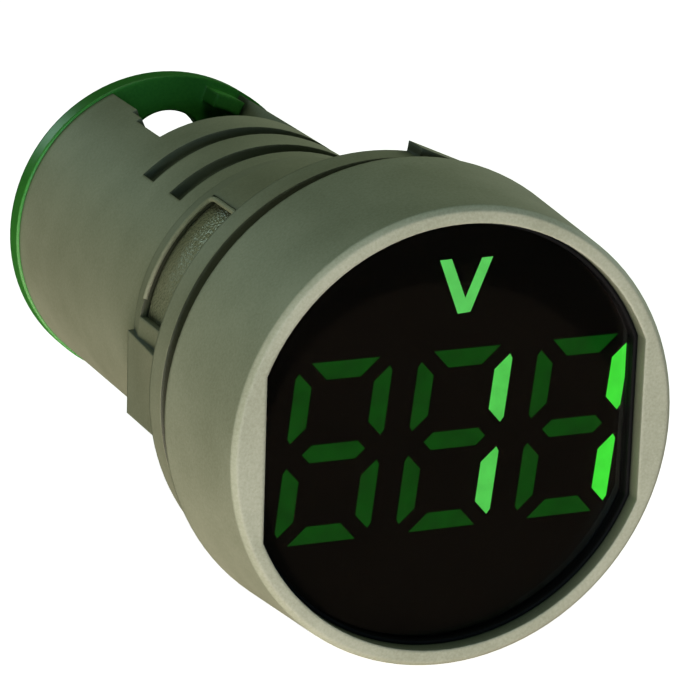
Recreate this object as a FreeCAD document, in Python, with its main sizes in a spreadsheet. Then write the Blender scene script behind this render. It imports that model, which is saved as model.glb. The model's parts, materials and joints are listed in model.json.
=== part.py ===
# Digital panel meter for a 22 mm panel hole.
# Axis along Y, viewer's side towards -Y, +Z up.
# The origin lies on the axis, on the panel's front surface, where the gasket seats.

import FreeCAD
import Part
import math
import os

import Sketcher
from FreeCAD import Placement, Rotation, Vector

doc = FreeCAD.newDocument("panel_meter")
sheet = doc.addObject("Spreadsheet::Sheet", "sizes")


class Size:
    """A length or angle: its number now, and the expression on the sheet that gives it."""

    def __init__(self, value, text):
        self.value = value
        self.text = text

    def __add__(self, other):
        other = as_size(other)
        return Size(self.value + other.value, f"({self.text} + {other.text})")

    def __sub__(self, other):
        other = as_size(other)
        return Size(self.value - other.value, f"({self.text} - {other.text})")

    def __mul__(self, factor):
        factor = as_size(factor)
        return Size(self.value * factor.value, f"({self.text} * {factor.text})")

    def __truediv__(self, factor):
        factor = as_size(factor)
        return Size(self.value / factor.value, f"({self.text} / {factor.text})")

    def __neg__(self):
        return Size(-self.value, f"(-1 * {self.text})")


def as_size(number):
    """A plain number as a size without a cell."""
    if isinstance(number, Size):
        return number
    return Size(float(number), repr(float(number)))


def cosine(angle):
    """Cosine of an angle in degrees."""
    return Size(math.cos(math.radians(angle.value)), f"cos({angle.text} * 1 deg)")


def sine(angle):
    """Sine of an angle in degrees."""
    return Size(math.sin(math.radians(angle.value)), f"sin({angle.text} * 1 deg)")


rows = 0


def size(alias, value, meaning):
    """Write one driving size on the sheet and give it back."""
    global rows
    rows += 1
    sheet.set(f"A{rows}", meaning)
    sheet.set(f"B{rows}", str(value))
    sheet.setAlias(f"B{rows}", alias)
    return Size(float(value), f"sizes.{alias}")


# Sizes that set the whole meter.
gasket_thickness = size("gasket_thickness", 1.2, "rubber ring between head and panel")
head_depth = size("head_depth", 9.46, "front of the head to its rear face")
head_front_radius = size("head_front_radius", 14.5, "outside of the head at the front")
head_rear_radius = size("head_rear_radius", 15.18, "outside of the head at the rear")
head_edge = size("head_edge", 0.3, "bevel of the head's front edge")
head_floor = size("head_floor", 1.2, "wall behind the head's cavity")
window_radius = size("window_radius", 13.45, "round part of the window")
window_half = size("window_half", 12.42, "middle to each flat side of the window")
barrel_radius = size("barrel_radius", 10.9, "outside of the barrel")
barrel_wall = size("barrel_wall", 1.4, "wall of the barrel")
barrel_length = size("barrel_length", 39.14, "panel surface to the barrel's rear end")

# Locking grooves and wire cut-outs in the barrel, in pairs at the top and the bottom.
groove_start = size("groove_start", 17.5, "panel surface to the first groove")
groove_width = size("groove_width", 1.95, "width of a groove")
groove_depth = size("groove_depth", 0.75, "depth of a groove")
groove_pitch = size("groove_pitch", 4.95, "first groove to second groove")
groove_sweep = size("groove_sweep", 83.0, "angle a groove covers")
cutout_start = size("cutout_start", 27.74, "panel surface to the cut-out's front edge")
cutout_step = size("cutout_step", 4.6, "length of the cut-out's wide front stretch")
cutout_shoulder = size("cutout_shoulder", 1.8, "length of the step between its front and rear stretch")
cutout_front_sweep = size("cutout_front_sweep", 52.4, "angle of the wide front stretch")
cutout_mid_sweep = size("cutout_mid_sweep", 48.0, "angle at that step")
cutout_rear_sweep = size("cutout_rear_sweep", 44.2, "angle of the narrow rear stretch")
key_notch_from = size("key_notch_from", 59.5, "angle of the key side's far edge")
key_notch_to = size("key_notch_to", 75.0, "angle of the key side's near edge")

# Display.
slip = size("slip", 0.05, "clearance between parts that seat in each other")
frame_step = size("frame_step", 1.0, "front of the head to the black frame")
lens_step = size("lens_step", 1.5, "front of the head to the lens")
frame_width = size("frame_width", 0.23, "width of the black frame's face")
lens_thickness = size("lens_thickness", 0.6, "thickness of the lens")
reflector_depth = size("reflector_depth", 4.4, "depth of the segment block")
segment_depth = size("segment_depth", 0.8, "depth of the segments in the block")
digit_width = size("digit_width", 6.25, "outer width of a digit")
digit_height = size("digit_height", 11.36, "outer height of a digit")
digit_pitch = size("digit_pitch", 7.95, "digit to digit")
digit_across = size("digit_across", 0.72, "middle digit to the axis, sideways")
digit_up = size("digit_up", -0.6, "digits' middle to the axis, upwards")
digit_lean = size("digit_lean", 0.113, "sideways lean for each millimetre of height")
stroke = size("stroke", 1.1, "width of a segment")
end_inset = size("end_inset", 0.92, "corner of a digit to the top segment's end")
tip = size("tip", 0.2, "blunt tip of an upright segment")
corner_drop = size("corner_drop", 0.6, "corner of a digit to an upright's tip")
waist_rise = size("waist_rise", 0.78, "middle of a digit to an upright's tip")
bar_inset = size("bar_inset", 1.08, "side of a digit to the middle bar's point")

# Circuit boards and what they carry.
display_board_thickness = size("display_board_thickness", 1.0, "display circuit board")
main_board_thickness = size("main_board_thickness", 1.6, "main circuit board")
main_board_top = size("main_board_top", -0.4, "upper face of the main board to the axis")
main_board_width = size("main_board_width", 17.4, "width of the main board")
pin_width = size("pin_width", 0.5, "side of a square pin")
pin_reach = size("pin_reach", 3.0, "length of a pin along the main board")
pin_pitch = size("pin_pitch", 1.27, "pin to pin")
pin_count = 9
film_length = size("film_length", 13.0, "film capacitor along the barrel")
film_width = size("film_width", 6.0, "film capacitor across")
film_height = size("film_height", 6.4, "film capacitor above the board")
can_radius = size("can_radius", 3.15, "radius of the smoothing capacitor")
can_length = size("can_length", 11.0, "length of the smoothing capacitor")
bridge_side = size("bridge_side", 5.0, "side of the rectifier")
bridge_height = size("bridge_height", 2.4, "height of the rectifier")
chip_width = size("chip_width", 5.2, "width of the controller chip")
chip_length = size("chip_length", 6.5, "length of the controller chip")
chip_height = size("chip_height", 1.6, "height of the controller chip")
resistor_width = size("resistor_width", 1.6, "width of a resistor")
resistor_length = size("resistor_length", 3.2, "length of a resistor")
resistor_height = size("resistor_height", 0.6, "height of a resistor")

# Rings that hold the meter in its panel.
panel_gap = size("panel_gap", 1.34, "gap for the panel sheet")
ring_thickness = size("ring_thickness", 2.0, "thickness of the thrust ring")
ring_setback = size("ring_setback", 0.7, "edge of the thrust ring inside the head's rear edge")
tab_setback = size("tab_setback", 0.02, "tall end of the ramped tab inside the head's rear edge")
tab_ramp = size("tab_ramp", 0.45, "fall of the tab to its low end")
tab_from = size("tab_from", 80.5, "angle of the tab's steep end")
tab_to = size("tab_to", 64.0, "angle of the tab's low end")
ring_clearance = size("ring_clearance", 0.08, "play of the rings on the barrel")
collar_wall = size("collar_wall", 0.55, "outside of the barrel to the outside of the collar")
collar_radius = barrel_radius + collar_wall
collar_length = size("collar_length", 12.0, "length of the locking ring")
collar_lip = size("collar_lip", 0.12, "wall left at the collar's tapered rear edge")
lug_rise = size("lug_rise", 0.85, "outside of the collar to the lug's flat face at its root")
lug_tail_rise = size("lug_tail_rise", 0.05, "outside of the collar to that face at its rear end")
lug_reach = collar_radius + lug_rise
lug_tail = collar_radius + lug_tail_rise
lug_top = size("lug_top", 0.4, "axis to the lug's upper side")
lug_slope = size("lug_slope", 49.0, "tilt of the lug's lower face")
lug_support = size("lug_support", 11.5, "axis to the lug's lower face")
lug_bottom = size("lug_bottom", 6.6, "axis down to the lug's lower side")
window_slot_top = size("window_slot_top", 124.0, "angle of the collar window's upper end")
window_slot_sweep = size("window_slot_sweep", 47.0, "angle the collar window covers")
window_slot_rear = size("window_slot_rear", 1.75, "collar's rear edge to the window")
window_slot_length = size("window_slot_length", 8.6, "length of the collar window")

# Terminals.
carrier_thickness = size("carrier_thickness", 3.0, "disc that carries the terminals")
carrier_start = size("carrier_start", 25.0, "panel surface to that disc")
seat_height = size("seat_height", 1.2, "terminal seat above the disc")
divider_thickness = size("divider_thickness", 1.2, "wall between the terminals")
terminal_up = size("terminal_up", 5.6, "axis to each terminal's screw")
plate_half = size("plate_half", 3.0, "half the side of a terminal plate")
plate_thickness = size("plate_thickness", 1.0, "thickness of a terminal plate")
tail_width = size("tail_width", 2.4, "width of a terminal plate's tail")
tail_thickness = size("tail_thickness", 0.6, "thickness of the tail")
tail_end = size("tail_end", 22.0, "panel surface to the tail's front end")
clamp_half = size("clamp_half", 2.9, "half the side of a clamp washer")
clamp_thickness = size("clamp_thickness", 1.0, "thickness of a clamp washer")
screw_radius = size("screw_radius", 1.5, "radius of a terminal screw")
screw_length = size("screw_length", 7.4, "length under a screw's head")
screw_head_radius = size("screw_head_radius", 2.5, "radius of a screw's head")
screw_head_height = size("screw_head_height", 2.0, "height of a screw's head")
slot_width = size("slot_width", 0.7, "width of a slot in a screw's head")
slot_depth = size("slot_depth", 1.0, "depth of that slot")

# Rear cover.
cover_rim = size("cover_rim", 0.2, "outside of the barrel to the outside of the rear cover")
cover_radius = barrel_radius + cover_rim
cover_thickness = size("cover_thickness", 1.45, "thickness of the rear cover")
spigot_length = size("spigot_length", 1.5, "length of the spigot inside the barrel")
spigot_wall = size("spigot_wall", 1.0, "wall of the spigot")
spigot_sweep = size("spigot_sweep", 80.0, "angle that each of the two spigot arcs covers")
driver_hole_radius = size("driver_hole_radius", 3.0, "screwdriver hole")
key_length = size("key_length", 2.0, "length of the cover's key inside the cut-out")
key_wall = size("key_wall", 1.0, "thickness of the key")
key_clearance = size("key_clearance", 1.5, "angle left free on each side of the key")

# Places that follow from those sizes.
ring_radius = head_rear_radius - ring_setback
tab_radius = head_rear_radius - tab_setback
tab_low_radius = tab_radius - tab_ramp
front = -(gasket_thickness + head_depth)
head_rear = -gasket_thickness
bore = barrel_radius - barrel_wall
lens_front = front + lens_step
lens_rear = lens_front + lens_thickness
reflector_front = lens_rear + slip
reflector_rear = reflector_front + reflector_depth
display_board_rear = reflector_rear + display_board_thickness
ring_front = panel_gap
ring_rear = ring_front + ring_thickness
collar_rear = ring_rear + collar_length
ring_bore = barrel_radius + ring_clearance
carrier_rear = carrier_start + carrier_thickness
seat_rear = carrier_rear + seat_height
plate_rear = seat_rear + plate_thickness
clamp_front = plate_rear + slip * 2
clamp_rear = clamp_front + clamp_thickness
spigot_front = barrel_length - spigot_length
main_board_front = head_rear - 0.6
main_board_rear = carrier_start - slip
main_board_bottom = main_board_top - main_board_thickness


def new_body(label):
    """An empty body whose label names its file."""
    body = doc.addObject("PartDesign::Body", label)
    body.Label = label
    body.AllowCompound = True
    return body


def sketch_on(body, role, name, along=None, turn=None):
    """A sketch on one of the body's own planes, moved along its normal and turned about its upright."""
    sketch = body.newObject("Sketcher::SketchObject", name)
    plane = next(item for item in body.Origin.OriginFeatures if item.Role == role)
    sketch.AttachmentSupport = [(plane, "")]
    sketch.MapMode = "FlatFace"
    if turn is not None:
        sketch.AttachmentOffset = Placement(Vector(), Rotation(Vector(0, 1, 0), turn.value))
        sketch.setExpression("AttachmentOffset.Rotation.Angle", turn.text)
    if along is not None:
        sketch.setExpression("AttachmentOffset.Base.z", along.text)
    return sketch


def across_axis(body, name, station):
    """A sketch square to the axis: its x is X, its y is Z, at a place along Y."""
    return sketch_on(body, "XZ_Plane", name, along=-station)


def hold(sketch, kind, target, amount):
    """One dimension of a sketch, driven from the sheet."""
    amount = as_size(amount)
    index = sketch.addConstraint(Sketcher.Constraint(kind, *target, amount.value))
    sketch.setExpression(f"Constraints[{index}]", amount.text)


def outline(sketch, corners):
    """Closed outline with straight sides; each corner is held by its two distances from the origin."""
    first = sketch.GeometryCount
    corners = [(as_size(a), as_size(b)) for a, b in corners]
    points = [Vector(a.value, b.value, 0) for a, b in corners]
    count = len(points)
    for index in range(count):
        sketch.addGeometry(Part.LineSegment(points[index], points[(index + 1) % count]), False)
    for index in range(count):
        after = first + (index + 1) % count
        sketch.addConstraint(Sketcher.Constraint("Coincident", first + index, 2, after, 1))
        hold(sketch, "DistanceX", (-1, 1, first + index, 1), corners[index][0])
        hold(sketch, "DistanceY", (-1, 1, first + index, 1), corners[index][1])


def circle(sketch, radius, across=0.0, up=0.0):
    """Circle with its centre held from the origin."""
    across = as_size(across)
    up = as_size(up)
    shape = Part.Circle(Vector(across.value, up.value, 0), Vector(0, 0, 1), radius.value)
    index = sketch.addGeometry(shape, False)
    hold(sketch, "DistanceX", (-1, 1, index, 3), across)
    hold(sketch, "DistanceY", (-1, 1, index, 3), up)
    hold(sketch, "Radius", (index,), radius)


def flatted_circle(sketch, radius, half):
    """Circle about the origin with a flat on the left and one on the right, half a width away."""
    angle = math.acos(half.value / radius.value)
    ends = [angle, math.pi - angle, math.pi + angle, 2 * math.pi - angle]
    point = [Vector(radius.value * math.cos(a), radius.value * math.sin(a), 0) for a in ends]
    whole = Part.Circle(Vector(), Vector(0, 0, 1), radius.value)
    top = sketch.addGeometry(Part.ArcOfCircle(whole, ends[0], ends[1]), False)
    left = sketch.addGeometry(Part.LineSegment(point[1], point[2]), False)
    bottom = sketch.addGeometry(Part.ArcOfCircle(whole, ends[2], ends[3]), False)
    right = sketch.addGeometry(Part.LineSegment(point[3], point[0]), False)
    for one, other in ((top, left), (left, bottom), (bottom, right), (right, top)):
        sketch.addConstraint(Sketcher.Constraint("Coincident", one, 2, other, 1))
    for arc in (top, bottom):
        sketch.addConstraint(Sketcher.Constraint("Coincident", arc, 3, -1, 1))
        hold(sketch, "Radius", (arc,), radius)
    for line in (left, right):
        sketch.addConstraint(Sketcher.Constraint("Vertical", line))
    hold(sketch, "DistanceX", (-1, 1, left, 1), -half)
    hold(sketch, "DistanceX", (-1, 1, right, 1), half)


def faceted_circle(sketch, radius, half, runs):
    """The same outline with each of its two arcs drawn as straight runs between points on it."""
    first = math.degrees(math.acos(half.value / radius.value))
    step = (180.0 - 2 * first) / runs
    top = []
    for number in range(1, runs):
        angle = as_size(first + step * number)
        top.append((radius * cosine(angle), radius * sine(angle)))
    shoulder = radius * sine(as_size(first))
    upper = [(half, shoulder)] + top + [(-half, shoulder)]
    lower = [(-across, -up) for across, up in upper]
    outline(sketch, upper + lower)


def grow(body, sketch, length, name, rearward=True):
    """Pad a sketch that lies square to the axis, towards the rear by default."""
    feature = body.newObject("PartDesign::Pad", name)
    feature.Profile = sketch
    feature.Reversed = rearward
    feature.Length = length.value
    feature.setExpression("Length", length.text)
    return feature


def cut(body, sketch, length, name, rearward=True):
    """Pocket a sketch that lies square to the axis, towards the rear by default."""
    feature = body.newObject("PartDesign::Pocket", name)
    feature.Profile = sketch
    feature.Reversed = not rearward
    feature.Length = length.value
    feature.setExpression("Length", length.text)
    return feature


def turn_solid(body, sketch, name):
    """Full revolution about Y of a sketch on the XY plane: its x is the radius, its y the place."""
    feature = body.newObject("PartDesign::Revolution", name)
    feature.Profile = sketch
    feature.ReferenceAxis = (sketch, ["V_Axis"])
    feature.Angle = 360
    return feature


def turn_cut(body, sketch, name, sweep, axis="V_Axis", middle=False):
    """Groove about Y; with middle it runs the same angle to both sides of the sketch."""
    feature = body.newObject("PartDesign::Groove", name)
    feature.Profile = sketch
    feature.ReferenceAxis = (sketch, [axis])
    feature.Midplane = middle
    feature.Angle = sweep.value
    feature.setExpression("Angle", sweep.text)
    return feature


def repeat_round(body, features, count, name):
    """Polar pattern about the body's Y axis."""
    pattern = body.newObject("PartDesign::PolarPattern", name)
    pattern.Originals = features
    axis = next(item for item in body.Origin.OriginFeatures if item.Role == "Y_Axis")
    pattern.Axis = (axis, [""])
    pattern.Angle = 360
    pattern.Occurrences = count
    body.Tip = pattern
    return pattern


def box(name, low, high):
    """Box between two corners given as sizes."""
    item = doc.addObject("Part::Box", name)
    spans = [as_size(b) - as_size(a) for a, b in zip(low, high)]
    for edge, span in zip(("Length", "Width", "Height"), spans):
        item.setExpression(edge, span.text)
    for axis, place in zip("xyz", low):
        item.setExpression(f"Placement.Base.{axis}", as_size(place).text)
    return item


def rod(name, radius, length, start, direction):
    """Cylinder from a start point along a direction."""
    item = doc.addObject("Part::Cylinder", name)
    item.setExpression("Radius", radius.text)
    item.setExpression("Height", length.text)
    item.Placement = Placement(Vector(), Rotation(Vector(0, 0, 1), direction))
    for axis, place in zip("xyz", start):
        item.setExpression(f"Placement.Base.{axis}", as_size(place).text)
    return item


def together(label, items):
    """Several separate solids under one label."""
    group = doc.addObject("Part::Compound", label)
    group.Label = label
    group.Links = items
    return group


def joined(label, items):
    """Several touching or overlapping solids made one."""
    fusion = doc.addObject("Part::MultiFuse", label)
    fusion.Label = label
    fusion.Shapes = items
    return fusion


nodes = []

# Housing: a round head with its cavity, and the barrel behind it, as one moulding.
housing = new_body("housing")
profile = sketch_on(housing, "XY_Plane", "housing_profile")
outline(profile, [
    (0, front),
    (head_front_radius - head_edge, front),
    (head_front_radius, front + head_edge),
    (head_rear_radius, head_rear),
    (barrel_radius, head_rear),
    (barrel_radius, barrel_length),
    (0, barrel_length),
])
turn_solid(housing, profile, "housing_turned")

window = across_axis(housing, "window_outline", front)
flatted_circle(window, window_radius, window_half)
cut(housing, window, head_depth - head_floor, "head_cavity")

barrel_bore = across_axis(housing, "bore_outline", front)
circle(barrel_bore, bore)
cut(housing, barrel_bore, barrel_length - front, "barrel_bore")

patterned = []
for number in range(2):
    groove_front = groove_start + groove_pitch * number
    groove = sketch_on(housing, "YZ_Plane", f"groove_profile_{number}")
    outline(groove, [
        (groove_front, barrel_radius - groove_depth),
        (groove_front + groove_width, barrel_radius - groove_depth),
        (groove_front + groove_width, barrel_radius + 1.0),
        (groove_front, barrel_radius + 1.0),
    ])
    patterned.append(turn_cut(housing, groove, f"locking_groove_{number}", groove_sweep,
                              axis="H_Axis", middle=True))

cutout_mid = cutout_start + cutout_step
cutout_rear = cutout_mid + cutout_shoulder
stretches = (
    (cutout_start, cutout_mid, cutout_front_sweep, "cutout_front"),
    (cutout_mid - 0.1, cutout_rear, cutout_mid_sweep, "cutout_middle"),
    (cutout_rear - 0.1, barrel_length + 1.0, cutout_rear_sweep, "cutout_rear"),
)
for begin, end, sweep, name in stretches:
    opening = sketch_on(housing, "YZ_Plane", f"{name}_profile")
    outline(opening, [
        (begin, bore - 1.0),
        (end, bore - 1.0),
        (end, barrel_radius + 1.0),
        (begin, barrel_radius + 1.0),
    ])
    patterned.append(turn_cut(housing, opening, name, sweep, axis="H_Axis", middle=True))

notch = sketch_on(housing, "XY_Plane", "key_notch_profile", turn=-key_notch_to)
outline(notch, [
    (bore - 1.0, cutout_start),
    (barrel_radius + 1.0, cutout_start),
    (barrel_radius + 1.0, barrel_length + 1.0),
    (bore - 1.0, barrel_length + 1.0),
])
patterned.append(turn_cut(housing, notch, "key_notch", key_notch_to - key_notch_from))
repeat_round(housing, patterned, 2, "top_and_bottom")
nodes.append(housing)

# Black frame round the lens.
frame_face = front + frame_step
lens_frame = new_body("lens_frame")
ring_sketch = across_axis(lens_frame, "frame_outline", frame_face)
flatted_circle(ring_sketch, window_radius - slip, window_half - slip)
flatted_circle(ring_sketch, window_radius - slip - frame_width, window_half - slip - frame_width)
grow(lens_frame, ring_sketch, lens_step - frame_step + lens_thickness, "frame_ring")
nodes.append(lens_frame)

# Smoked lens inside the frame.
lens = new_body("lens")
lens_sketch = across_axis(lens, "lens_outline", lens_front)
lens_gap = slip * 2 + frame_width
flatted_circle(lens_sketch, window_radius - lens_gap, window_half - lens_gap)
grow(lens, lens_sketch, lens_thickness, "lens_disc")
nodes.append(lens)


def segment_corners(letter):
    """Corners of one segment about its digit's middle, upright, before the lean."""
    half_width = digit_width / 2
    half_height = digit_height / 2
    inner = half_width - stroke
    if letter in "ad":
        level = half_height if letter == "a" else -half_height
        inside = half_height - stroke if letter == "a" else -(half_height - stroke)
        return [
            (-(half_width - end_inset), level),
            (half_width - end_inset, level),
            (half_width - end_inset - stroke, inside),
            (-(half_width - end_inset - stroke), inside),
        ]
    if letter == "g":
        point = half_width - bar_inset
        shoulder = point - stroke / 2
        return [
            (-point, 0.0),
            (-shoulder, stroke / 2),
            (shoulder, stroke / 2),
            (point, 0.0),
            (shoulder, -stroke / 2),
            (-shoulder, -stroke / 2),
        ]
    high = half_height - corner_drop
    shape = [
        (half_width, high - tip * 1.5),
        (half_width - tip, high),
        (inner, high - stroke + tip),
        (inner, waist_rise + stroke - tip),
        (half_width - tip, waist_rise),
        (half_width, waist_rise + tip * 1.5),
    ]
    if letter in "fe":
        shape = [(-across, up) for across, up in shape]
    if letter in "ce":
        shape = [(across, -up) for across, up in shape]
    return shape


def draw_segments(sketch, digit, letters):
    """Leaning outlines of the lettered segments of one digit; digit is -1, 0 or 1 from the left."""
    for letter in letters:
        corners = []
        for across, up in segment_corners(letter):
            up = as_size(up)
            lean = up * digit_lean
            corners.append((as_size(across) + lean + digit_across + digit_pitch * digit, up + digit_up))
        outline(sketch, corners)


# Black block with a pocket for each segment; the frame hides its short straight sides.
reflector = new_body("display_reflector")
block = across_axis(reflector, "reflector_outline", reflector_front)
faceted_circle(block, window_radius - slip, window_half - slip, 8)
grow(reflector, block, reflector_depth, "reflector_block")
for digit in (-1, 0, 1):
    pockets = across_axis(reflector, f"segment_pockets_{digit + 2}", reflector_front)
    draw_segments(pockets, digit, "abcdefg")
    cut(reflector, pockets, segment_depth, f"pockets_{digit + 2}")
nodes.append(reflector)

# Segments that fill the pockets, dark and lit ones apart: the meter reads eleven.
for label, digit, letters in (
    ("hundreds_segments", -1, "abcdefg"),
    ("tens_dark_segments", 0, "adefg"),
    ("tens_lit_segments", 0, "bc"),
    ("units_dark_segments", 1, "adefg"),
    ("units_lit_segments", 1, "bc"),
):
    segments = new_body(label)
    faces = across_axis(segments, f"{label}_outline", reflector_front)
    draw_segments(faces, digit, letters)
    grow(segments, faces, segment_depth, f"{label}_filling")
    nodes.append(segments)

# Display board behind the block.
display_board = new_body("display_board")
board_face = across_axis(display_board, "display_board_outline", reflector_rear)
side = window_half - slip * 4
short = window_radius * 0.38
outline(board_face, [
    (-side, -short), (-short, -side), (short, -side), (side, -short),
    (side, short), (short, side), (-short, side), (-side, short),
])
grow(display_board, board_face, display_board_thickness, "display_board_plate")
nodes.append(display_board)

# Main board, lengthwise in the barrel, and the pins that join it to the display board.
main_board = box(
    "main_board",
    (-main_board_width / 2, main_board_front, main_board_bottom),
    (main_board_width / 2, main_board_rear, main_board_top),
)
nodes.append(main_board)
pins = []
for number in range(pin_count):
    middle = pin_pitch * (number - (pin_count - 1) / 2)
    pins.append(box(
        f"pin_{number}",
        (middle - pin_width / 2, display_board_rear, main_board_top),
        (middle + pin_width / 2, main_board_front + pin_reach, main_board_top + pin_width),
    ))
nodes.append(together("board_pins", pins))

# Parts on the main board.
film_start = main_board_front + pin_reach + 2.0
film_right = as_size(-0.6)
nodes.append(box(
    "dropping_capacitor",
    (film_right - film_width, film_start, main_board_top),
    (film_right, film_start + film_length, main_board_top + film_height),
))
can = rod(
    "smoothing_capacitor", can_radius, can_length,
    (can_radius + 1.0, film_start + 2.0, main_board_top + can_radius),
    Vector(0, 1, 0),
)
nodes.append(can)
nodes.append(box(
    "rectifier",
    (can_radius + 1.0 - bridge_side / 2, film_start + can_length + 2.6, main_board_top),
    (can_radius + 1.0 + bridge_side / 2, film_start + can_length + 2.6 + bridge_side,
     main_board_top + bridge_height),
))
nodes.append(box(
    "controller_chip",
    (-chip_width / 2, film_start, main_board_bottom - chip_height),
    (chip_width / 2, film_start + chip_length, main_board_bottom),
))
resistors = []
for number in range(2):
    near = film_start + film_length + 0.8 + resistor_width * (1.6 * number)
    resistors.append(box(
        f"resistor_{number}",
        (film_right - 1.0 - resistor_length, near, main_board_top),
        (film_right - 1.0, near + resistor_width, main_board_top + resistor_height),
    ))
nodes.append(together("resistors", resistors))

# Rubber gasket on the neck, between head and panel.
gasket = new_body("gasket")
gasket_face = across_axis(gasket, "gasket_outline", head_rear)
circle(gasket_face, head_front_radius - 0.4)
circle(gasket_face, barrel_radius + slip)
grow(gasket, gasket_face, gasket_thickness, "gasket_ring")
nodes.append(gasket)

# Thrust ring with two ramped tabs on its rim.
thrust_ring = new_body("thrust_ring")
flange = across_axis(thrust_ring, "thrust_outline", ring_front)
circle(flange, ring_radius)
grow(thrust_ring, flange, ring_thickness, "thrust_disc")
tab = across_axis(thrust_ring, "tab_outline", ring_front)
root_radius = ring_radius - 0.6
outline(tab, [
    (root_radius * cosine(tab_from), root_radius * sine(tab_from)),
    (tab_radius * cosine(tab_from), tab_radius * sine(tab_from)),
    (tab_low_radius * cosine(tab_to), tab_low_radius * sine(tab_to)),
    (root_radius * cosine(tab_to), root_radius * sine(tab_to)),
])
tab_pad = grow(thrust_ring, tab, ring_thickness, "ramped_tab")
repeat_round(thrust_ring, [tab_pad], 2, "both_tabs")
ring_hole = across_axis(thrust_ring, "thrust_bore", ring_front)
circle(ring_hole, ring_bore)
cut(thrust_ring, ring_hole, ring_thickness, "thrust_hole")
nodes.append(thrust_ring)

# Locking ring: a thin collar with two finger lugs and two windows.
locking_ring = new_body("locking_ring")
slot_rear = collar_rear - window_slot_rear
collar = sketch_on(locking_ring, "XY_Plane", "collar_profile")
outline(collar, [
    (ring_bore, ring_rear),
    (collar_radius, ring_rear),
    (collar_radius, slot_rear + slip),
    (ring_bore + collar_lip, collar_rear),
    (ring_bore, collar_rear),
])
turn_solid(locking_ring, collar, "collar")

lug = across_axis(locking_ring, "lug_outline", ring_rear)
lug_inside = ring_bore - 0.6
lower_corner = (lug_support - lug_reach * cosine(lug_slope)) / sine(lug_slope)
inner_corner = (lug_support - lug_bottom * sine(lug_slope)) / cosine(lug_slope)
outline(lug, [
    (-lug_inside, lug_top),
    (-lug_reach, lug_top),
    (-lug_reach, -lower_corner),
    (-inner_corner, -lug_bottom),
    (-(lug_inside * 0.8), -(lug_bottom * 0.85)),
])
lug_pad = grow(locking_ring, lug, collar_length, "finger_lug")

taper = sketch_on(locking_ring, "XY_Plane", "lug_taper_outline", along=lug_top + 1.0)
outline(taper, [
    (-lug_reach, ring_rear + slip),
    (-lug_tail, collar_rear),
    (-lug_tail, collar_rear + 1.0),
    (-(lug_reach + 2.0), collar_rear + 1.0),
    (-(lug_reach + 2.0), ring_rear + slip),
])
lug_taper = locking_ring.newObject("PartDesign::Pocket", "lug_taper")
lug_taper.Profile = taper
lug_taper.Length = 20
lug_taper.setExpression("Length", (lug_bottom + lug_top + 3.0).text)

slot = sketch_on(locking_ring, "XY_Plane", "collar_window_profile",
                 turn=-(window_slot_top + window_slot_sweep))
outline(slot, [
    (ring_bore - 1.0, slot_rear - window_slot_length),
    (collar_radius + 1.5, slot_rear - window_slot_length),
    (collar_radius + 1.5, slot_rear),
    (ring_bore - 1.0, slot_rear),
])
collar_window = turn_cut(locking_ring, slot, "collar_window", window_slot_sweep)
repeat_round(locking_ring, [lug_pad, lug_taper, collar_window], 2, "both_sides")

collar_hole = across_axis(locking_ring, "collar_bore", ring_rear)
circle(collar_hole, ring_bore)
cut(locking_ring, collar_hole, collar_length, "collar_hole")
nodes.append(locking_ring)

# Terminal carrier: disc, divider and two terminal seats.
carrier = new_body("terminal_carrier")
disc = across_axis(carrier, "carrier_outline", carrier_start)
circle(disc, bore - slip)
grow(carrier, disc, carrier_thickness, "carrier_disc")
wall = across_axis(carrier, "divider_outline", carrier_rear)
wall_half = bore - slip * 4
outline(wall, [
    (-wall_half, -divider_thickness / 2),
    (wall_half, -divider_thickness / 2),
    (wall_half, divider_thickness / 2),
    (-wall_half, divider_thickness / 2),
])
grow(carrier, wall, spigot_front - slip - carrier_rear, "divider")
seats = across_axis(carrier, "seat_outline", carrier_rear)
for side in (1, -1):
    outline(seats, [
        (-plate_half, terminal_up * side - plate_half),
        (plate_half, terminal_up * side - plate_half),
        (plate_half, terminal_up * side + plate_half),
        (-plate_half, terminal_up * side + plate_half),
    ])
grow(carrier, seats, seat_height, "terminal_seats")
holes = across_axis(carrier, "carrier_holes", carrier_start)
hole_half = screw_radius + 0.4
for side in (1, -1):
    outline(holes, [
        (-hole_half, terminal_up * side - hole_half),
        (hole_half, terminal_up * side - hole_half),
        (hole_half, terminal_up * side + hole_half),
        (-hole_half, terminal_up * side + hole_half),
    ])
cut(carrier, holes, carrier_thickness + seat_height, "screw_holes")
tail_slots = across_axis(carrier, "tail_slots", carrier_start)
tail_outer = terminal_up - plate_half + tail_thickness
for side in (1, -1):
    outline(tail_slots, [
        (-tail_width / 2 - slip, (terminal_up - plate_half - slip) * side),
        (tail_width / 2 + slip, (terminal_up - plate_half - slip) * side),
        (tail_width / 2 + slip, (tail_outer + slip) * side),
        (-tail_width / 2 - slip, (tail_outer + slip) * side),
    ])
cut(carrier, tail_slots, carrier_thickness + seat_height, "tail_slots_cut")
nodes.append(carrier)

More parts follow.
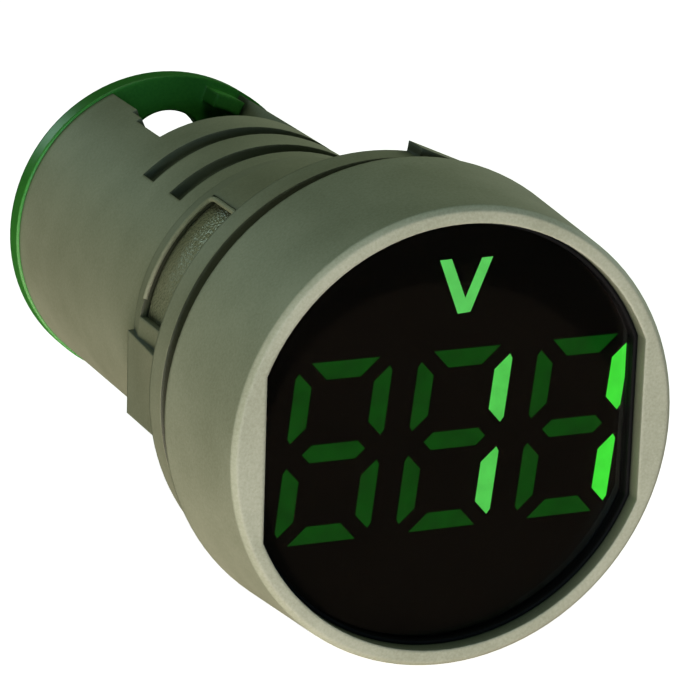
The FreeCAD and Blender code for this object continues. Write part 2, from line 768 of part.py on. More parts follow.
# Terminal plates with their tails, which reach the main board.
plates = []
for side, name, board_face_level in ((1, "upper", main_board_top), (-1, "lower", main_board_bottom)):
    inner_edge = (terminal_up - plate_half) * side
    outer_edge = (terminal_up + plate_half) * side
    tail_edge = tail_outer * side
    levels = [inner_edge, outer_edge] if side == 1 else [outer_edge, inner_edge]
    tail_levels = [inner_edge, tail_edge] if side == 1 else [tail_edge, inner_edge]
    foot_levels = [board_face_level, tail_edge] if side == 1 else [tail_edge, board_face_level]
    slab = box(f"{name}_slab", (-plate_half, seat_rear, levels[0]), (plate_half, plate_rear, levels[1]))
    tail = box(f"{name}_tail", (-tail_width / 2, tail_end, tail_levels[0]),
               (tail_width / 2, plate_rear, tail_levels[1]))
    foot = box(f"{name}_foot", (-tail_width / 2, tail_end, foot_levels[0]),
               (tail_width / 2, tail_end + tail_thickness, foot_levels[1]))
    blank = joined(f"{name}_blank", [slab, tail, foot])
    hole = rod(f"{name}_plate_hole", screw_radius + slip, plate_thickness + 2.0,
               (0, seat_rear - 1.0, terminal_up * side), Vector(0, 1, 0))
    plate = doc.addObject("Part::Cut", f"{name}_plate")
    plate.Base = blank
    plate.Tool = hole
    plates.append(plate)
nodes.append(together("terminal_plates", plates))

# Clamp washers and terminal screws, one above and one below the divider.
for side, name in ((1, "upper"), (-1, "lower")):
    clamp = new_body(f"clamp_{name}")
    face = across_axis(clamp, f"clamp_{name}_outline", clamp_front)
    outline(face, [
        (-clamp_half, terminal_up * side - clamp_half),
        (clamp_half, terminal_up * side - clamp_half),
        (clamp_half, terminal_up * side + clamp_half),
        (-clamp_half, terminal_up * side + clamp_half),
    ])
    circle(face, screw_radius + slip, 0.0, terminal_up * side)
    grow(clamp, face, clamp_thickness, f"clamp_{name}_square")
    nodes.append(clamp)

    screw = new_body(f"screw_{name}")
    shank = across_axis(screw, f"screw_{name}_shank_outline", clamp_rear - screw_length)
    circle(shank, screw_radius, 0.0, terminal_up * side)
    grow(screw, shank, screw_length, f"screw_{name}_shank")
    head = across_axis(screw, f"screw_{name}_head_outline", clamp_rear)
    circle(head, screw_head_radius, 0.0, terminal_up * side)
    grow(screw, head, screw_head_height, f"screw_{name}_head")
    cross = across_axis(screw, f"screw_{name}_slot_outline", clamp_rear + screw_head_height)
    long_half = screw_head_radius * 1.2
    outline(cross, [
        (-long_half, terminal_up * side - slot_width / 2),
        (long_half, terminal_up * side - slot_width / 2),
        (long_half, terminal_up * side + slot_width / 2),
        (-long_half, terminal_up * side + slot_width / 2),
    ])
    cut(screw, cross, slot_depth, f"screw_{name}_slot", rearward=False)
    nodes.append(screw)

# Rear cover: rimmed disc, two spigot arcs, screwdriver holes, and a key in each cut-out.
cover = new_body("rear_cover")
cover_profile = sketch_on(cover, "XY_Plane", "cover_profile")
spigot_radius = bore - slip
outline(cover_profile, [
    (0, barrel_length),
    (cover_radius, barrel_length),
    (cover_radius, barrel_length + cover_thickness),
    (0, barrel_length + cover_thickness),
])
turn_solid(cover, cover_profile, "cover_turned")
spigot = sketch_on(cover, "XY_Plane", "spigot_profile", turn=-(spigot_sweep / 2))
outline(spigot, [
    (spigot_radius - spigot_wall, spigot_front),
    (spigot_radius, spigot_front),
    (spigot_radius, barrel_length + 0.2),
    (spigot_radius - spigot_wall, barrel_length + 0.2),
])
spigot_solid = cover.newObject("PartDesign::Revolution", "cover_spigot")
spigot_solid.Profile = spigot
spigot_solid.ReferenceAxis = (spigot, ["V_Axis"])
spigot_solid.Angle = spigot_sweep.value
spigot_solid.setExpression("Angle", spigot_sweep.text)
repeat_round(cover, [spigot_solid], 2, "both_spigots")
key_outer_radius = bore + slip + key_wall
key = sketch_on(cover, "XY_Plane", "key_profile", turn=-(key_notch_to - key_clearance))
outline(key, [
    (bore + slip, barrel_length - key_length),
    (key_outer_radius, barrel_length - key_length),
    (key_outer_radius, barrel_length + 0.2),
    (bore + slip, barrel_length + 0.2),
])
key_solid = cover.newObject("PartDesign::Revolution", "cover_key")
key_solid.Profile = key
key_solid.ReferenceAxis = (key, ["V_Axis"])
key_angle = key_notch_to - key_notch_from - key_clearance * 2
key_solid.Angle = key_angle.value
key_solid.setExpression("Angle", key_angle.text)
repeat_round(cover, [key_solid], 2, "both_keys")
driver_holes = across_axis(cover, "driver_holes", spigot_front)
for side in (1, -1):
    circle(driver_holes, driver_hole_radius, 0.0, terminal_up * side)
cut(cover, driver_holes, spigot_length + cover_thickness, "driver_holes_cut")
nodes.append(cover)

doc.recompute()

for item in doc.Objects:
    broken = [state for state in item.State if state in ("Invalid", "Error")]
    if broken:
        raise RuntimeError(f"{item.Name} did not build: {item.State}")

os.makedirs("parts", exist_ok=True)
for node in nodes:
    shape = node.Shape
    if shape.isNull() or not shape.isValid() or shape.Volume <= 0:
        raise RuntimeError(f"{node.Label} has no valid solid")
    shape.exportStep(f"parts/{node.Label}.step")
    extent = shape.BoundBox
    print(f"{node.Label:22s} solids {len(shape.Solids)} volume {shape.Volume:9.2f} mm3 "
          f"y {extent.YMin:7.2f} to {extent.YMax:7.2f} "
          f"x {extent.XMin:6.2f} to {extent.XMax:6.2f} z {extent.ZMin:6.2f} to {extent.ZMax:6.2f}")
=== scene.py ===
"""Looks of a round panel-mount digital voltmeter: grey-green moulded case, smoked lens with
green segments behind it, and a green cover at the rear. Blender's lengths are in metres; the
sizes written here are in millimetres where a comment or MM says so."""

import json
import math

import bpy
import numpy as np
from mathutils import Matrix, Vector


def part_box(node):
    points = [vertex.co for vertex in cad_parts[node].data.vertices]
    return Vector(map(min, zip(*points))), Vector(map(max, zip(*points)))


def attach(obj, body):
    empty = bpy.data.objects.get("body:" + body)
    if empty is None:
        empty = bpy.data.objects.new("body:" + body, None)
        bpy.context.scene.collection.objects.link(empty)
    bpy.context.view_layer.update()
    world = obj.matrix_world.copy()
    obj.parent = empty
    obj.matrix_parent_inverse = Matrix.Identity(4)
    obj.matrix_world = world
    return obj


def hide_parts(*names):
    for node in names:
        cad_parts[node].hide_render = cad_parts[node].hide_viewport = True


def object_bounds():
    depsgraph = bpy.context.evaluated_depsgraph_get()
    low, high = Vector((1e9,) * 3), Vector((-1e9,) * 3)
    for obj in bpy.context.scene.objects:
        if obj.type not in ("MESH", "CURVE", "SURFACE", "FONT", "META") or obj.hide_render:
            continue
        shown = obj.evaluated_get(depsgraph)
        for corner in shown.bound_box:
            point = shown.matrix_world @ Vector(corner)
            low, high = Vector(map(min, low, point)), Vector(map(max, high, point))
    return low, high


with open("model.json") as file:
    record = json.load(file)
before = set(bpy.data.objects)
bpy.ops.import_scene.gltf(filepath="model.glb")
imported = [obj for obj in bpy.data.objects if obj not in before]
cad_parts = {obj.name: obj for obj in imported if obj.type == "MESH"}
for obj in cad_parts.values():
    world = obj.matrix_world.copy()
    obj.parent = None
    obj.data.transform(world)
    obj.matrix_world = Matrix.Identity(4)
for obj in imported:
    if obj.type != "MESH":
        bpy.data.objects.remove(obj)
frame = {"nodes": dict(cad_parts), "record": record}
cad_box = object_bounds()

MM = 0.001

# Sizes that all the moulded plastics share.
CLOUD = 6 * MM            # slow drift of tone
MOULD_ROUND = 0.30 * MM   # rounding of an edge that the solid has sharp
SHADE_REACH = 3 * MM       # a wall nearer than this darkens a corner with painted shade
PIT_SPACING = 0.18 * MM
PIT_DEPTH = 0.05 * MM
RUB_FADE = 0.4            # mm over which a rubbed stretch begins and ends
RUBBED_ROUGHNESS = 0.16


def linear(code):
    """sRGB hex to linear red, green, blue and full alpha: below 0.04045 a straight line,
    above it a power of 2.4."""
    channels = [int(code[n:n + 2], 16) / 255 for n in (1, 3, 5)]
    return tuple(c / 12.92 if c <= 0.04045 else ((c + 0.055) / 1.055) ** 2.4
                 for c in channels) + (1.0,)


def add(tree, kind, settings=None, links=None):
    """A node with its settings and what feeds it; a key is a socket's name or number, or a
    property."""
    node = tree.nodes.new(kind)
    settings = settings or {}
    for key, value in settings.items():
        if isinstance(key, str) and hasattr(node, key):
            setattr(node, key, value)
    for key, value in settings.items():
        if isinstance(key, int) or not hasattr(node, key):
            node.inputs[key].default_value = value
    for key, source in (links or {}).items():
        tree.links.new(source, node.inputs[key])
    return node


def new_material(name):
    """Empty node material; gives back the material, its tree and its output node."""
    material = bpy.data.materials.new(name)
    material.use_nodes = True
    tree = material.node_tree
    tree.nodes.clear()
    return material, tree, add(tree, "ShaderNodeOutputMaterial")


def moulded(name, colour, shade, roughness, grain, depth, edge=None, rubbed=None, coat=0.0,
            gloss=0.5, painted_shade=None):
    """Injection-moulded plastic.

    colour and shade are the light and dark ends of its slow, cloudy drift of tone.
    grain is the spacing of the spark-eroded texture and depth its height, both in mm.
    edge is the tone of sharp edges: wear where handling has brightened them, and on the green
    cover a painted glow as if light came through them.
    rubbed is a stretch along Y, in mm, that sliding rings have polished and pitted.
    gloss is the strength of its mirror-like share, 0.5 for a plain polymer.
    The last argument is the tone of painted shade in corners and grooves, where near walls
    would keep light out.
    """
    material, tree, output = new_material(name)
    place = add(tree, "ShaderNodeTexCoord").outputs["Object"]

    # Tone: clouds with the mould's grain on top.
    cloud = add(tree, "ShaderNodeTexNoise",
                {"Scale": 1 / CLOUD, "Detail": 3.0, "Roughness": 0.5}, {"Vector": place})
    speck = add(tree, "ShaderNodeTexNoise",
                {"Scale": 1 / (grain * MM), "Detail": 2.0, "Roughness": 0.65},
                {"Vector": place})
    both = add(tree, "ShaderNodeMath", {"operation": "MULTIPLY_ADD", 1: 0.9},
               {0: speck.outputs["Fac"], 2: cloud.outputs["Fac"]})
    spread = add(tree, "ShaderNodeMapRange", {"From Min": 0.70, "From Max": 1.20},
                 {"Value": both.outputs[0]})
    tone = add(tree, "ShaderNodeMix",
               {"data_type": "RGBA", 6: linear(shade), 7: linear(colour)},
               {0: spread.outputs[0]})
    tint = tone.outputs[2]
    soft = add(tree, "ShaderNodeBevel", {"samples": 6, "Radius": MOULD_ROUND})

    if edge:
        # Edges lighter where the rounded normal turns away from the flat face's own: wear on
        # the nylon, a painted glow on the green cover.
        face = add(tree, "ShaderNodeNewGeometry")
        turn = add(tree, "ShaderNodeVectorMath", {"operation": "DOT_PRODUCT"},
                   {0: soft.outputs[0], 1: face.outputs["Normal"]})
        edge_wear_and_glow = add(tree, "ShaderNodeMapRange",
                   {"From Min": 0.995, "From Max": 0.80, "To Max": 0.2},
                   {"Value": turn.outputs["Value"]})
        tint = add(tree, "ShaderNodeMix", {"data_type": "RGBA", 7: linear(edge)},
                   {0: edge_wear_and_glow.outputs[0], 6: tint}).outputs[2]
    if rubbed:
        # One inside the stretch along Y and nought outside it.
        start, end = rubbed
        axis = add(tree, "ShaderNodeSeparateXYZ", {}, {0: place})
        after = add(tree, "ShaderNodeMapRange",
                    {"From Min": start * MM, "From Max": (start + RUB_FADE) * MM},
                    {"Value": axis.outputs["Y"]})
        until = add(tree, "ShaderNodeMapRange",
                    {"From Min": end * MM, "From Max": (end - RUB_FADE) * MM},
                    {"Value": axis.outputs["Y"]})
        inside = add(tree, "ShaderNodeMath", {"operation": "MULTIPLY"},
                     {0: after.outputs[0], 1: until.outputs[0]})
    if painted_shade:
        # Painted shade: darker where ambient occlusion finds walls near, as in corners and
        # grooves, with less of it in the stretch that the rings rub.
        open_sky = add(tree, "ShaderNodeAmbientOcclusion",
                       {"samples": 8, "Distance": SHADE_REACH})
        shade_amount = add(tree, "ShaderNodeMapRange",
                     {"From Min": 0.98, "From Max": 0.60, "To Max": 0.9},
                     {"Value": open_sky.outputs["AO"]})
        if rubbed:
            wiped = add(tree, "ShaderNodeMath",
                        {"operation": "MULTIPLY_ADD", 1: -0.7, 2: 1.0},
                        {0: inside.outputs[0]})
            shade_amount = add(tree, "ShaderNodeMath", {"operation": "MULTIPLY"},
                         {0: shade_amount.outputs[0], 1: wiped.outputs[0]})
        tint = add(tree, "ShaderNodeMix", {"data_type": "RGBA", 7: linear(painted_shade)},
                   {0: shade_amount.outputs[0], 6: tint}).outputs[2]

    # Relief and gloss: the grain, and smooth pitted plastic where the rings rub.
    rough = add(tree, "ShaderNodeMapRange",
                {"To Min": roughness - 0.06, "To Max": roughness + 0.08},
                {"Value": speck.outputs["Fac"]}).outputs[0]
    bump = add(tree, "ShaderNodeBump", {"Strength": 1.0, "Distance": depth * MM},
               {"Height": speck.outputs["Fac"], "Normal": soft.outputs[0]})
    if rubbed:
        rough = add(tree, "ShaderNodeMix", {"data_type": "FLOAT", 3: RUBBED_ROUGHNESS},
                    {0: inside.outputs[0], 2: rough}).outputs[0]
        pits = add(tree, "ShaderNodeTexVoronoi", {"Scale": 1 / PIT_SPACING},
                   {"Vector": place})
        bump = add(tree, "ShaderNodeBump", {"Distance": PIT_DEPTH},
                   {"Height": pits.outputs["Distance"], "Strength": inside.outputs[0],
                    "Normal": bump.outputs[0]})
    shader = add(tree, "ShaderNodeBsdfPrincipled",
                 {"IOR": 1.53, "Coat Weight": coat, "Coat Roughness": 0.25,
                  "Specular IOR Level": gloss},
                 {"Base Color": tint, "Roughness": rough, "Normal": bump.outputs[0]})
    tree.links.new(shader.outputs[0], output.inputs[0])
    return material


def lit_resin(name, body, glow, strength, mottle):
    """Diffusing resin that fills a segment and gives light of its own: from the chip under it
    when lit, and as a painted glow when unlit.

    body is the resin's own colour, glow the light that comes out of it and mottle how much
    that light rises and falls, in clouds 1.2 mm across with a fine grain of 0.16 mm.
    """
    material, tree, output = new_material(name)
    place = add(tree, "ShaderNodeTexCoord").outputs["Object"]
    cloud = add(tree, "ShaderNodeTexNoise", {"Scale": 1 / (1.2 * MM), "Detail": 2.0},
                {"Vector": place})
    fine = add(tree, "ShaderNodeTexNoise", {"Scale": 1 / (0.16 * MM), "Detail": 1.0},
               {"Vector": place})
    total = add(tree, "ShaderNodeMath", {"operation": "MULTIPLY_ADD", 1: 0.5},
                {0: fine.outputs["Fac"], 2: cloud.outputs["Fac"]})
    level = add(tree, "ShaderNodeMapRange",
                {"From Min": 0.5, "From Max": 1.0, "To Min": 1.0 - mottle,
                 "To Max": 1.0 + mottle},
                {"Value": total.outputs[0]})
    light = add(tree, "ShaderNodeMath", {"operation": "MULTIPLY", 1: strength},
                {0: level.outputs[0]})
    shader = add(tree, "ShaderNodeBsdfPrincipled",
                 {"Base Color": linear(body), "Roughness": 0.4, "IOR": 1.52,
                  "Emission Color": linear(glow)},
                 {"Emission Strength": light.outputs[0]})
    tree.links.new(shader.outputs[0], output.inputs[0])
    return material


def smoked_acrylic(name):
    """Cast acrylic dyed smoke grey and polished: clear to look through and mirror-like on its
    face, with a haze of fine wiping marks, 0.5 mm apart and drawn out along their length."""
    material, tree, output = new_material(name)
    place = add(tree, "ShaderNodeTexCoord").outputs["Object"]
    stretch = add(tree, "ShaderNodeMapping",
                  {"Scale": (1.0, 1.0, 0.12), "Rotation": (0.0, 0.5, 0.0)},
                  {"Vector": place})
    wiped = add(tree, "ShaderNodeTexNoise", {"Scale": 1 / (0.5 * MM), "Detail": 3.0},
                {"Vector": stretch.outputs[0]})
    haze = add(tree, "ShaderNodeMapRange",
               {"From Min": 0.5, "From Max": 0.8, "To Min": 0.02, "To Max": 0.05},
               {"Value": wiped.outputs["Fac"]})
    shader = add(tree, "ShaderNodeBsdfPrincipled",
                 {"Base Color": linear("#9C948E"), "IOR": 1.49, "Transmission Weight": 1.0,
                  "Specular IOR Level": 0.35},
                 {"Roughness": haze.outputs[0]})
    tree.links.new(shader.outputs[0], output.inputs[0])
    return material


def worked_metal(name, colour, roughness, drawn, depth):
    """Bare or plated metal with fine lines from drawing or turning, drawn mm apart and depth
    mm deep, and a patchy dullness 1.5 mm across."""
    material, tree, output = new_material(name)
    place = add(tree, "ShaderNodeTexCoord").outputs["Object"]
    stretch = add(tree, "ShaderNodeMapping", {"Scale": (0.08, 1.0, 1.0)}, {"Vector": place})
    lines = add(tree, "ShaderNodeTexNoise", {"Scale": 1 / (drawn * MM), "Detail": 3.0},
                {"Vector": stretch.outputs[0]})
    stain = add(tree, "ShaderNodeTexNoise", {"Scale": 1 / (1.5 * MM), "Detail": 2.0},
                {"Vector": place})
    rough = add(tree, "ShaderNodeMapRange",
                {"To Min": roughness - 0.08, "To Max": roughness + 0.12},
                {"Value": stain.outputs["Fac"]})
    soft = add(tree, "ShaderNodeBevel", {"samples": 4, "Radius": 0.12 * MM})
    bump = add(tree, "ShaderNodeBump", {"Distance": depth * MM},
               {"Height": lines.outputs["Fac"], "Normal": soft.outputs[0]})
    shader = add(tree, "ShaderNodeBsdfPrincipled",
                 {"Base Color": linear(colour), "Metallic": 1.0},
                 {"Roughness": rough.outputs[0], "Normal": bump.outputs[0]})
    tree.links.new(shader.outputs[0], output.inputs[0])
    return material


finishes = {
    # Glass-filled nylon, spark-eroded mould: matt, slightly cloudy, edges a little paler, with
    # painted shade in its corners and grooves.
    "housing_plastic": moulded("grey_green_nylon", "#ABAC94", "#94967D", 0.55, 0.17, 0.010,
                               edge="#BDBDA6", rubbed=(3.4, 15.3), painted_shade="#3B4432"),
    # The same nylon in the two rings, a shade darker and without the rubbed stretch, with
    # painted shade in its corners and gaps.
    "ring_plastic": moulded("ring_nylon", "#A7A890", "#90927A", 0.52, 0.17, 0.010,
                            painted_shade="#454A39"),
    # Matt black ABS frame and segment block: nearly no light comes back from them. The frame's
    # near black is also painted shade: it stands in for the shadowed gap round the lens.
    "frame_black": moulded("black_frame_abs", "#080808", "#040404", 0.6, 0.12, 0.004,
                           gloss=0.1),
    "reflector_black": moulded("segment_block_abs", "#2E2A22", "#221F18", 0.7, 0.12, 0.004,
                               gloss=0.04),
    # Polished smoke-grey acrylic: dims what lies behind it and mirrors a lamp faintly.
    "smoked_lens": smoked_acrylic("smoked_acrylic"),
    # Unlit segments: a painted glow, a dim, deep green light of their own.
    "segment_dark": lit_resin("unlit_resin_painted_glow", "#0A3A0E", "#10801A", 0.76, 0.25),
    # Lit segments: an even bright green, a little stronger in the last digit.
    "segment_lit_tens": lit_resin("lit_tens_resin", "#1F6B22", "#55DC5D", 2.75, 0.13),
    "segment_lit_units": lit_resin("lit_units_resin", "#1F6B22", "#41EE40", 3.05, 0.13),
    # Glass-fibre board under green solder lacquer: smooth with a low gloss.
    "circuit_board": moulded("lacquered_board", "#1F5E33", "#174B28", 0.35, 0.5, 0.004,
                             coat=0.4),
    # Tinned brass pins: a soft, whitish shine with drawing lines.
    "tinned_metal": worked_metal("tinned_brass", "#C9C7C0", 0.32, 0.08, 0.002),
    # Moulded film-capacitor box, sleeved can, epoxy packages and ceramic chips.
    "capacitor_box": moulded("capacitor_box_pbt", "#B08A2E", "#A07C26", 0.3, 0.3, 0.003),
    "capacitor_can": moulded("capacitor_sleeve_pvc", "#16171E", "#0F1016", 0.28, 0.4, 0.002),
    "chip_black": moulded("epoxy_package", "#1C1C1D", "#141415", 0.5, 0.08, 0.004),
    "resistor_body": moulded("ceramic_chip", "#151414", "#0E0D0D", 0.35, 0.1, 0.003),
    # Nitrile rubber: dark and dull, with a faint bloom.
    "gasket_rubber": moulded("nitrile_rubber", "#131411", "#0C0D0B", 0.8, 0.25, 0.008,
                             gloss=0.2),
    # Moulded PBT terminal carrier: near black with a satin face.
    "carrier_plastic": moulded("carrier_pbt", "#242624", "#1A1B1A", 0.45, 0.2, 0.006),
    # Stamped brass plates, and steel screws and washers under bright zinc.
    "terminal_brass": worked_metal("stamped_brass", "#C8A457", 0.3, 0.1, 0.003),
    "plated_steel": worked_metal("zinc_plated_steel", "#C6C8C9", 0.28, 0.1, 0.003),
    # Dyed ABS with a satin face: deep green, its edges lighter with a painted glow, as if
    # light came through them.
    "cover_green": moulded("green_cover_abs", "#449A37", "#35842E", 0.30, 0.22, 0.006,
                           edge="#62B84A"),
}

slot_of = {part["node"]: part["material_slot"] for part in frame["record"]["subparts"]}
for name, node in frame["nodes"].items():
    node.data.materials.clear()
    node.data.materials.append(finishes[slot_of[name]])


def new_object(name, points, polygons):
    """Mesh object at the origin, from points in metres and polygons of point numbers."""
    mesh = bpy.data.meshes.new(name)
    mesh.from_pydata(points, [], polygons)
    mesh.update()
    item = bpy.data.objects.new(name, mesh)
    bpy.context.scene.collection.objects.link(item)
    return item


def plate(name, corners, front, rear):
    """Thin plate: an outline in X and Z, anticlockwise from the front, carried straight to
    the rear along Y. Corner n of the front face is (x, front, z) and the same corner behind
    it is (x, rear, z). Its sides are the faces after the first two."""
    outline = np.array(corners, float) * MM
    count = len(outline)
    corner = np.arange(count)
    following = (corner + 1) % count
    layers = [np.column_stack([outline[:, 0], np.full(count, y * MM), outline[:, 1]])
              for y in (front, rear)]
    ends = [corner.tolist(), (corner[::-1] + count).tolist()]
    sides = np.column_stack([corner, corner + count, following + count, following])
    return new_object(name, np.vstack(layers).tolist(), ends + sides.tolist())


def turned_ring(name, profile, steps):
    """Ring about Y: point k of a closed profile, (radius, place along Y), is carried round in
    steps, so that the surface is (radius cos a, place, radius sin a) for a from 0 to a full
    turn."""
    section = np.array(profile, float) * MM
    angle = np.linspace(0, 2 * np.pi, steps, endpoint=False)[:, None]
    across = section[None, :, 0] * np.cos(angle)
    up = section[None, :, 0] * np.sin(angle)
    along = np.broadcast_to(section[None, :, 1], across.shape)
    points = np.stack([across, along, up], axis=-1).reshape(-1, 3)
    count = len(section)
    row, column = np.meshgrid(np.arange(steps), np.arange(count), indexing="ij")
    after, beside = (row + 1) % steps, (column + 1) % count
    quads = np.stack([row * count + column, row * count + beside,
                      after * count + beside, after * count + column], axis=-1)
    piece = new_object(name, points.tolist(), quads.reshape(-1, 4).tolist())
    piece.data.polygons.foreach_set("use_smooth", [True] * len(piece.data.polygons))
    return piece


def bead(name, path, width, base, crest, half_turn):
    """Rounded bead on a cylinder about Y, swept along a path of (angle in degrees, place
    along Y in mm), half_turn times 180 degrees further round.

    Across the path the offset u runs from -1 to 1 times half the width, and the radius is
    base + (crest - base) sqrt(1 - u u); a straight row at the base closes it underneath.
    The path's own corners are softened by passes of a 1-2-1 average."""
    per_knot, passes, across_points = 12, 4, 9
    track = np.array(path, float)
    knots = np.arange(len(track))
    fine = np.linspace(0, len(track) - 1, per_knot * (len(track) - 1) + 1)
    arc = np.interp(fine, knots, np.radians(track[:, 0])) * crest
    along = np.interp(fine, knots, track[:, 1])
    for _ in range(passes):
        arc[1:-1] = (arc[:-2] + 2 * arc[1:-1] + arc[2:]) / 4
        along[1:-1] = (along[:-2] + 2 * along[1:-1] + along[2:]) / 4
    ahead = np.stack([np.gradient(arc), np.gradient(along)])
    ahead /= np.linalg.norm(ahead, axis=0)
    around = np.linspace(0, np.pi, across_points)
    across = np.cos(around)
    lift = base + (crest - base) * np.sin(around)
    angle = (arc[:, None] + ahead[1][:, None] * across * width / 2) / crest + np.pi * half_turn
    place = along[:, None] - ahead[0][:, None] * across * width / 2
    points = np.stack([lift * np.cos(angle), place, lift * np.sin(angle)], axis=-1)
    rows = len(fine)
    row, column = np.meshgrid(np.arange(rows - 1), np.arange(across_points), indexing="ij")
    beside = (column + 1) % across_points
    quads = np.stack([row * across_points + column, row * across_points + beside,
                      (row + 1) * across_points + beside,
                      (row + 1) * across_points + column], axis=-1).reshape(-1, 4).tolist()
    quads.append(list(range(across_points))[::-1])
    quads.append(list(range((rows - 1) * across_points, rows * across_points)))
    return new_object(name, (points.reshape(-1, 3) * MM).tolist(), quads)


# Gasket with a rounded rim. Its rear face stops a hair short of the solid's, where the
# thrust ring comes to rest.
low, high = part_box("gasket")
inner, outer, rim = 10.95, high[0] / MM, 0.45
short_of_solid = 0.02
front, rear = low[1] / MM, high[1] / MM - short_of_solid
rim_angle = np.linspace(-np.pi / 2, np.pi / 2, 13)
rounding = np.column_stack([outer - rim + rim * np.cos(rim_angle),
                            (front + rear) / 2 + (rear - front) / 2 * np.sin(rim_angle)])
rubber_ring = turned_ring("rubber_ring", [(inner, rear), (inner, front)] + rounding.tolist(),
                          180)
rubber_ring.data.materials.append(finishes["gasket_rubber"])
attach(rubber_ring, "case")
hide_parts("gasket")

# Lens, a disc with two flat sides: clear on both faces, its narrow sides in the frame's black
# as painted shade, where the frame holds them.
low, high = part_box("lens")
lens_radius, lens_half = high[2] / MM, high[0] / MM
opening = math.acos(lens_half / lens_radius)
upper = np.linspace(opening, np.pi - opening, 65)
arc = np.concatenate([upper, upper + np.pi])
lens_outline = np.column_stack([lens_radius * np.cos(arc), lens_radius * np.sin(arc)])
lens_sheet = plate("lens_sheet", lens_outline, low[1] / MM, high[1] / MM)
lens_sheet.data.materials.append(finishes["smoked_lens"])
lens_sheet.data.materials.append(finishes["frame_black"])
finish_of_face = np.ones(len(lens_sheet.data.polygons), dtype=np.int32)
finish_of_face[:2] = 0
lens_sheet.data.polygons.foreach_set("material_index", finish_of_face)
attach(lens_sheet, "case")
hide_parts("lens")

# Bead along the upper and rear edges of each window in the collar, paler than the collar as a
# painted highlight. Its foot is sunk 0.15 mm into the collar, whose radius is 11.45 mm.
window_edge = [(124.9, 5.2), (124.9, 8.0), (124.9, 11.3), (124.9, 13.1), (125.7, 13.5),
               (127.5, 13.57), (140.0, 13.57), (150.0, 13.57), (158.0, 13.57),
               (165.0, 13.60)]
bead_width, bead_foot, bead_crest = 0.36, 11.30, 11.56
# Painted highlight: nylon paler than the ring's and without its painted shade, so that the
# bead shows as a pale line.
pale_nylon = moulded("ridge_highlight_nylon", "#B4B59D", "#9FA189", 0.45, 0.17, 0.006)
for side, half_turn in (("left", 0), ("right", 1)):
    ledge = bead("window_bead_" + side, window_edge, bead_width, bead_foot, bead_crest,
                 half_turn)
    ledge.data.materials.append(pale_nylon)
    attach(ledge, "locking_ring")

# Unit sign, a lit V over the middle digit, 0.03 mm thick in front of the segment block.
sign_front, sign_rear = -8.545, -8.515
volt_sign = plate("volt_sign", [
    (0.60, 7.32), (1.43, 7.38), (2.78, 10.71), (2.07, 10.69), (1.06, 8.25), (0.07, 10.76),
    (-0.70, 10.74),
], sign_front, sign_rear)
# The segments' resin again, between the two lit digits in strength.
volt_sign.data.materials.append(lit_resin("lit_sign_resin", "#1F6B22", "#5CD867", 2.9, 0.10))
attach(volt_sign, "case")

# Pale floor just under the head's lowest point, on which the meter lies.
reach = 3.0
level = cad_box[0][2] - 0.05 * MM
floor = new_object("floor", [(-reach, -reach, level), (reach, -reach, level),
                             (reach, reach, level), (-reach, reach, level)], [(0, 1, 2, 3)])
# Matt white paper with a glow of its own, so that it stays even and pale.
paper, tree, output = new_material("pale_paper")
shader = add(tree, "ShaderNodeBsdfPrincipled",
             {"Base Color": linear("#F4F4F2"), "Roughness": 0.9,
              "Emission Color": linear("#FFFFFF"), "Emission Strength": 0.92})
tree.links.new(shader.outputs[0], output.inputs[0])
floor.data.materials.append(paper)
floor.visible_shadow = False
floor.visible_diffuse = False
floor.visible_glossy = False
floor.visible_transmission = False

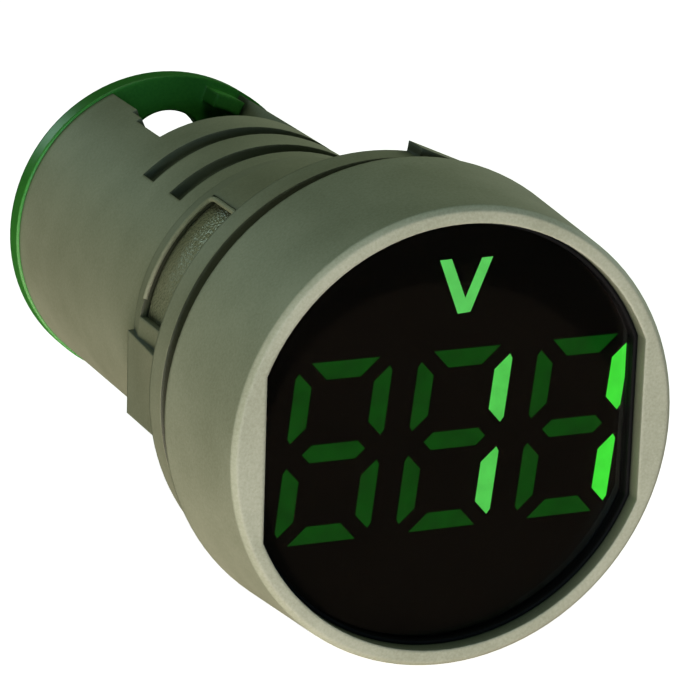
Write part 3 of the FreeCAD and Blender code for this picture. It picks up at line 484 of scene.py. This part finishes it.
# Studio: a pale surround, six soft lamps and a card. The strongest lamp and two more lights
# stand below the floor and shine up through it, since it holds back no light.
world = bpy.data.worlds.new("studio")
bpy.context.scene.world = world
world.use_nodes = True
sky = world.node_tree
sky.nodes.clear()
rays = add(sky, "ShaderNodeLightPath")
seen = add(sky, "ShaderNodeBackground", {"Color": linear("#FFFFFF"), "Strength": 1.0})
surround = add(sky, "ShaderNodeBackground", {"Color": linear("#E9EEDD"), "Strength": 0.02})
chosen = add(sky, "ShaderNodeMixShader", {},
             {0: rays.outputs["Is Camera Ray"], 1: surround.outputs[0], 2: seen.outputs[0]})
add(sky, "ShaderNodeOutputWorld", {}, {0: chosen.outputs[0]})

METER_MIDDLE = Vector((0.0, 0.01, 0.0))


def lamp(name, place, size, power, colour, shape="SQUARE"):
    """Soft lamp at a place in metres, size metres across, facing the meter's middle."""
    data = bpy.data.lights.new(name, "AREA")
    data.shape = shape
    data.size = size
    data.energy = power
    data.color = linear(colour)[:3]
    item = bpy.data.objects.new(name, data)
    item.location = place
    item.rotation_euler = (METER_MIDDLE - Vector(place)).to_track_quat("-Z", "Y").to_euler()
    bpy.context.scene.collection.objects.link(item)


lamp("front_lamp", (-0.10, -0.40, -0.30), 0.30, 2.6, "#FCE8E2")
lamp("left_lamp", (-0.42, -0.15, -0.20), 0.30, 1.0, "#FBFFE4")
lamp("window_lamp", (-0.10, -0.50, 0.02), 0.20, 1.0, "#BCE4FF")
lamp("top_lamp", (0.0, -0.10, 0.50), 0.30, 0.50, "#E8FFE0")
lamp("right_lamp", (0.40, 0.16, 0.12), 0.30, 0.6, "#F4FFEB")
lamp("rear_lamp", (-0.155, 0.40, 0.16), 0.12, 0.12, "#C8F0E4")

# A dim round card that the lens mirrors towards the camera.
lamp("dim_card", (0.205, -0.44, -0.166), 0.072, 0.0006, "#FFE0C0", "DISK")

# Camera at the photograph's place, turned by its azimuth, elevation and roll in degrees.
camera_data = bpy.data.cameras.new("camera")
camera_data.lens = 198.76
camera_data.sensor_width = 36.0
camera_data.clip_start = 0.01
camera = bpy.data.objects.new("camera", camera_data)
bpy.context.scene.collection.objects.link(camera)
azimuth, elevation, roll = (math.radians(a) for a in (-23.755, 17.203, 1.823))
aim = (Matrix.Rotation(azimuth, 4, "Z") @ Matrix.Rotation(math.pi / 2 - elevation, 4, "X")
       @ Matrix.Rotation(roll, 4, "Z"))
camera.matrix_world = Matrix.Translation((-0.0946, -0.20922, 0.07351)) @ aim
bpy.context.scene.camera = camera
bpy.context.scene.view_settings.view_transform = "Standard"
